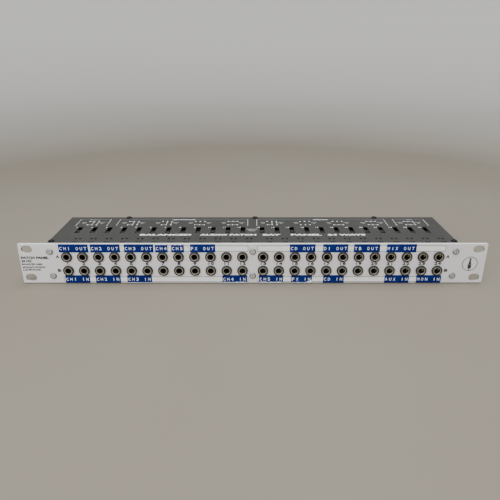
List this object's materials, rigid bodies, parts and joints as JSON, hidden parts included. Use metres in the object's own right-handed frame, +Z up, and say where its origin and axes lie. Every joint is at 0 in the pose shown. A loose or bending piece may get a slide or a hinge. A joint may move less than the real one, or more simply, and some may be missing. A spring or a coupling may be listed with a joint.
{
  "type": "audio patch bay",
  "caption": "One-unit 19-inch rack panel with two rows of 6.35 mm sockets front and rear, and a sliding mode switch under the top cover for each channel.",
  "frame": {"origin": "bottom centre of the unit's box, under the panel's lower edge", "axes": "+X along the panel to the viewer's right, +Y from the front panel to the rear, +Z up"},
  "size_m": [0.4826, 0.0944, 0.044],
  "materials": {
    "panel_paint": "fine-speckled silver paint",
    "case_paint": "charcoal powder coat",
    "socket_body": "black moulded plastic",
    "knob_plastic": "dark grey moulded plastic",
    "panel_screw": "plain zinc",
    "cover_screw": "black oxide",
    "socket_ring": "nickel plated",
    "circuit_board": "green solder mask",
    "contact_spring": "nickel plated",
    "label_tape": "blue embossing tape",
    "label_letter": "stress-whitened embossing",
    "white_ink": "screen-printed ink",
    "dark_ink": "screen-printed ink"
  },
  "bodies": {
    "enclosure": {"channel_board_01": "socket_body", "channel_board_02": "socket_body", "channel_board_03": "socket_body", "channel_board_04": "socket_body", "channel_board_05": "socket_body", "channel_board_06": "socket_body", "channel_board_07": "socket_body", "channel_board_08": "socket_body", "channel_board_09": "socket_body", "channel_board_10": "socket_body", "channel_board_11": "socket_body", "channel_board_12": "socket_body", "channel_board_13": "socket_body", "channel_board_14": "socket_body", "channel_board_15": "socket_body", "channel_board_16": "socket_body", "channel_board_17": "socket_body", "channel_board_18": "socket_body", "channel_board_19": "socket_body", "channel_board_20": "socket_body", "channel_board_21": "socket_body", "channel_board_22": "socket_body", "channel_board_23": "socket_body", "channel_board_24": "socket_body", "chassis_tray": "case_paint", "cover_screw_front_left": "cover_screw", "cover_screw_front_right": "cover_screw", "cover_screw_rear_left": "cover_screw", "cover_screw_rear_middle": "cover_screw", "cover_screw_rear_right": "cover_screw", "front_panel": "panel_paint", "panel_screw_lower_left": "panel_screw", "panel_screw_lower_right": "panel_screw", "panel_screw_upper_left": "panel_screw", "panel_screw_upper_right": "panel_screw", "top_cover": "case_paint"},
    "mode_slider_01": {"mode_slider_01": "knob_plastic"},
    "mode_slider_02": {"mode_slider_02": "knob_plastic"},
    "mode_slider_03": {"mode_slider_03": "knob_plastic"},
    "mode_slider_04": {"mode_slider_04": "knob_plastic"},
    "mode_slider_05": {"mode_slider_05": "knob_plastic"},
    "mode_slider_06": {"mode_slider_06": "knob_plastic"},
    "mode_slider_07": {"mode_slider_07": "knob_plastic"},
    "mode_slider_08": {"mode_slider_08": "knob_plastic"},
    "mode_slider_09": {"mode_slider_09": "knob_plastic"},
    "mode_slider_10": {"mode_slider_10": "knob_plastic"},
    "mode_slider_11": {"mode_slider_11": "knob_plastic"},
    "mode_slider_12": {"mode_slider_12": "knob_plastic"},
    "mode_slider_13": {"mode_slider_13": "knob_plastic"},
    "mode_slider_14": {"mode_slider_14": "knob_plastic"},
    "mode_slider_15": {"mode_slider_15": "knob_plastic"},
    "mode_slider_16": {"mode_slider_16": "knob_plastic"},
    "mode_slider_17": {"mode_slider_17": "knob_plastic"},
    "mode_slider_18": {"mode_slider_18": "knob_plastic"},
    "mode_slider_19": {"mode_slider_19": "knob_plastic"},
    "mode_slider_20": {"mode_slider_20": "knob_plastic"},
    "mode_slider_21": {"mode_slider_21": "knob_plastic"},
    "mode_slider_22": {"mode_slider_22": "knob_plastic"},
    "mode_slider_23": {"mode_slider_23": "knob_plastic"},
    "mode_slider_24": {"mode_slider_24": "knob_plastic"}
  },
  "joints": [
    {"name": "mode_slide_01", "type": "slide", "parent": "enclosure", "child": "mode_slider_01", "axis": [0, 1, 0], "range_m": [-0.004, 0.008]},
    {"name": "mode_slide_02", "type": "slide", "parent": "enclosure", "child": "mode_slider_02", "axis": [0, 1, 0], "range_m": [0, 0.012]},
    {"name": "mode_slide_03", "type": "slide", "parent": "enclosure", "child": "mode_slider_03", "axis": [0, 1, 0], "range_m": [0, 0.012]},
    {"name": "mode_slide_04", "type": "slide", "parent": "enclosure", "child": "mode_slider_04", "axis": [0, 1, 0], "range_m": [0, 0.012]},
    {"name": "mode_slide_05", "type": "slide", "parent": "enclosure", "child": "mode_slider_05", "axis": [0, 1, 0], "range_m": [0, 0.012]},
    {"name": "mode_slide_06", "type": "slide", "parent": "enclosure", "child": "mode_slider_06", "axis": [0, 1, 0], "range_m": [0, 0.012]},
    {"name": "mode_slide_07", "type": "slide", "parent": "enclosure", "child": "mode_slider_07", "axis": [0, 1, 0], "range_m": [0, 0.012]},
    {"name": "mode_slide_08", "type": "slide", "parent": "enclosure", "child": "mode_slider_08", "axis": [0, 1, 0], "range_m": [0, 0.012]},
    {"name": "mode_slide_09", "type": "slide", "parent": "enclosure", "child": "mode_slider_09", "axis": [0, 1, 0], "range_m": [0, 0.012]},
    {"name": "mode_slide_10", "type": "slide", "parent": "enclosure", "child": "mode_slider_10", "axis": [0, 1, 0], "range_m": [-0.004, 0.008]},
    {"name": "mode_slide_11", "type": "slide", "parent": "enclosure", "child": "mode_slider_11", "axis": [0, 1, 0], "range_m": [-0.004, 0.008]},
    {"name": "mode_slide_12", "type": "slide", "parent": "enclosure", "child": "mode_slider_12", "axis": [0, 1, 0], "range_m": [0, 0.012]},
    {"name": "mode_slide_13", "type": "slide", "parent": "enclosure", "child": "mode_slider_13", "axis": [0, 1, 0], "range_m": [-0.004, 0.008]},
    {"name": "mode_slide_14", "type": "slide", "parent": "enclosure", "child": "mode_slider_14", "axis": [0, 1, 0], "range_m": [0, 0.012]},
    {"name": "mode_slide_15", "type": "slide", "parent": "enclosure", "child": "mode_slider_15", "axis": [0, 1, 0], "range_m": [-0.004, 0.008]},
    {"name": "mode_slide_16", "type": "slide", "parent": "enclosure", "child": "mode_slider_16", "axis": [0, 1, 0], "range_m": [0, 0.012]},
    {"name": "mode_slide_17", "type": "slide", "parent": "enclosure", "child": "mode_slider_17", "axis": [0, 1, 0], "range_m": [0, 0.012]},
    {"name": "mode_slide_18", "type": "slide", "parent": "enclosure", "child": "mode_slider_18", "axis": [0, 1, 0], "range_m": [0, 0.012]},
    {"name": "mode_slide_19", "type": "slide", "parent": "enclosure", "child": "mode_slider_19", "axis": [0, 1, 0], "range_m": [0, 0.012]},
    {"name": "mode_slide_20", "type": "slide", "parent": "enclosure", "child": "mode_slider_20", "axis": [0, 1, 0], "range_m": [-0.004, 0.008]},
    {"name": "mode_slide_21", "type": "slide", "parent": "enclosure", "child": "mode_slider_21", "axis": [0, 1, 0], "range_m": [-0.004, 0.008]},
    {"name": "mode_slide_22", "type": "slide", "parent": "enclosure", "child": "mode_slider_22", "axis": [0, 1, 0], "range_m": [0, 0.012]},
    {"name": "mode_slide_23", "type": "slide", "parent": "enclosure", "child": "mode_slider_23", "axis": [0, 1, 0], "range_m": [0, 0.012]},
    {"name": "mode_slide_24", "type": "slide", "parent": "enclosure", "child": "mode_slider_24", "axis": [0, 1, 0], "range_m": [0, 0.012]}
  ]
}
